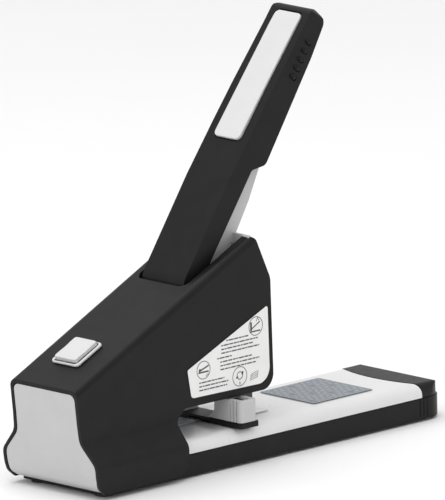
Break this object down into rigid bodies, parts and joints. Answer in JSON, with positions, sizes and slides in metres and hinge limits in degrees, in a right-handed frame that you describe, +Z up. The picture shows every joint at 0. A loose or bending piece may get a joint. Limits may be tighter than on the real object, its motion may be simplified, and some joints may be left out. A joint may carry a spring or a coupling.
{
  "type": "heavy-duty lever stapler",
  "caption": "Heavy-duty desk stapler with a raised lever handle, bell-sided housing, swinging magazine, sliding paper guide and long base.",
  "frame": {"origin": "centre of the bounding box on the table, under the rubber feet", "axes": "+X towards the front of the base, +Y to the left, +Z up"},
  "size_m": [0.2884, 0.0782, 0.2508],
  "materials": {
    "black_plastic": "soft matte moulded black plastic",
    "light_grey_plastic": "satin light grey plastic",
    "white_plastic": "smooth white plastic",
    "white_painted_steel": "white painted steel sheet",
    "bright_steel": "bright zinc-plated steel",
    "dark_steel": "dark phosphated steel",
    "black_rubber": "soft black rubber",
    "printed_label": null,
    "printed_chart": "printed slate film with a white grid"
  },
  "bodies": {
    "root": {"base_tray": "black_plastic", "base_plate": "white_painted_steel", "front_cap": "black_plastic", "anvil_plate": "bright_steel", "guide_rail": "bright_steel", "rubber_foot_1": "black_rubber", "rubber_foot_2": "black_rubber", "rubber_foot_3": "black_rubber", "rubber_foot_4": "black_rubber", "size_chart_label": "printed_chart", "body_shell": "black_plastic", "rear_panel": "light_grey_plastic", "front_panel": "light_grey_plastic", "side_label": "printed_label", "button_bezel": "white_plastic", "button_bracket": "bright_steel", "button_spring": "bright_steel", "chassis_plate_left": "bright_steel", "chassis_plate_right": "bright_steel", "upper_tie_bar": "bright_steel", "lower_tie_bar": "bright_steel", "handle_pivot_pin": "bright_steel", "magazine_pivot_pin": "bright_steel"},
    "handle": {"handle_cover": "black_plastic", "handle_grip_insert": "white_plastic", "handle_lever": "light_grey_plastic", "drive_pin": "bright_steel", "handle_return_spring": "bright_steel"},
    "drive_links": {"drive_link_left": "bright_steel", "drive_link_right": "bright_steel"},
    "magazine_arm": {"magazine_arm": "dark_steel"},
    "driver": {"driver_carrier": "dark_steel", "carrier_pin": "bright_steel", "driver_blade": "bright_steel"},
    "magazine_rail": {"magazine_rail": "bright_steel", "magazine_nose": "dark_steel", "staple_strip": "bright_steel", "pusher_rod": "bright_steel", "pusher_spring": "bright_steel"},
    "pusher": {"staple_pusher": "white_plastic"},
    "release_button": {"release_button": "white_plastic"},
    "paper_guide": {"paper_guide_bar": "black_plastic", "guide_stop_left": "light_grey_plastic", "guide_stop_right": "light_grey_plastic"}
  },
  "joints": [
    {"name": "handle_hinge", "type": "hinge", "parent": "root", "child": "handle", "pos_m": [-0.0344, 0, 0.105], "axis": [0, 1, 0], "range_deg": [0, 50], "stiffness_Nm_per_rad": 0.25, "springref_deg": -80.21},
    {"name": "link_hinge", "type": "hinge", "parent": "handle", "child": "drive_links", "pos_m": [-0.00496, 0, 0.122], "axis": [0, 1, 0], "range_deg": [-50.5, 0]},
    {"name": "magazine_swing", "type": "hinge", "parent": "root", "child": "magazine_arm", "pos_m": [-0.1209, 0, 0.048], "axis": [0, 1, 0], "range_deg": [0, 3.3]},
    {"name": "driver_slide", "type": "slide", "parent": "magazine_arm", "child": "driver", "axis": [0, 0, -1], "range_m": [0, 0.0219]},
    {"name": "rail_slide", "type": "slide", "parent": "magazine_arm", "child": "magazine_rail", "axis": [-1, 0, 0], "range_m": [-0.09, 0]},
    {"name": "pusher_slide", "type": "slide", "parent": "magazine_rail", "child": "pusher", "axis": [1, 0, 0], "range_m": [-0.045, 0], "stiffness_N_per_m": 40, "springref_m": 0.03, "deforming": ["pusher_spring"]},
    {"name": "button_slide", "type": "slide", "parent": "root", "child": "release_button", "axis": [0.4239, 0, -0.9057], "range_m": [0, 0.003], "stiffness_N_per_m": 400, "springref_m": -0.003, "deforming": ["button_spring"]},
    {"name": "guide_slide", "type": "slide", "parent": "root", "child": "paper_guide", "axis": [1, 0, 0], "range_m": [-0.031, 0.003]}
  ],
  "couplings": [
    {"joint": "link_hinge", "follows": "handle_hinge", "ratio": -1},
    {"joint": "magazine_swing", "follows": "handle_hinge", "ratio": 0.0648},
    {"joint": "driver_slide", "follows": "handle_hinge", "m_per_rad": 0.024866}
  ]
}
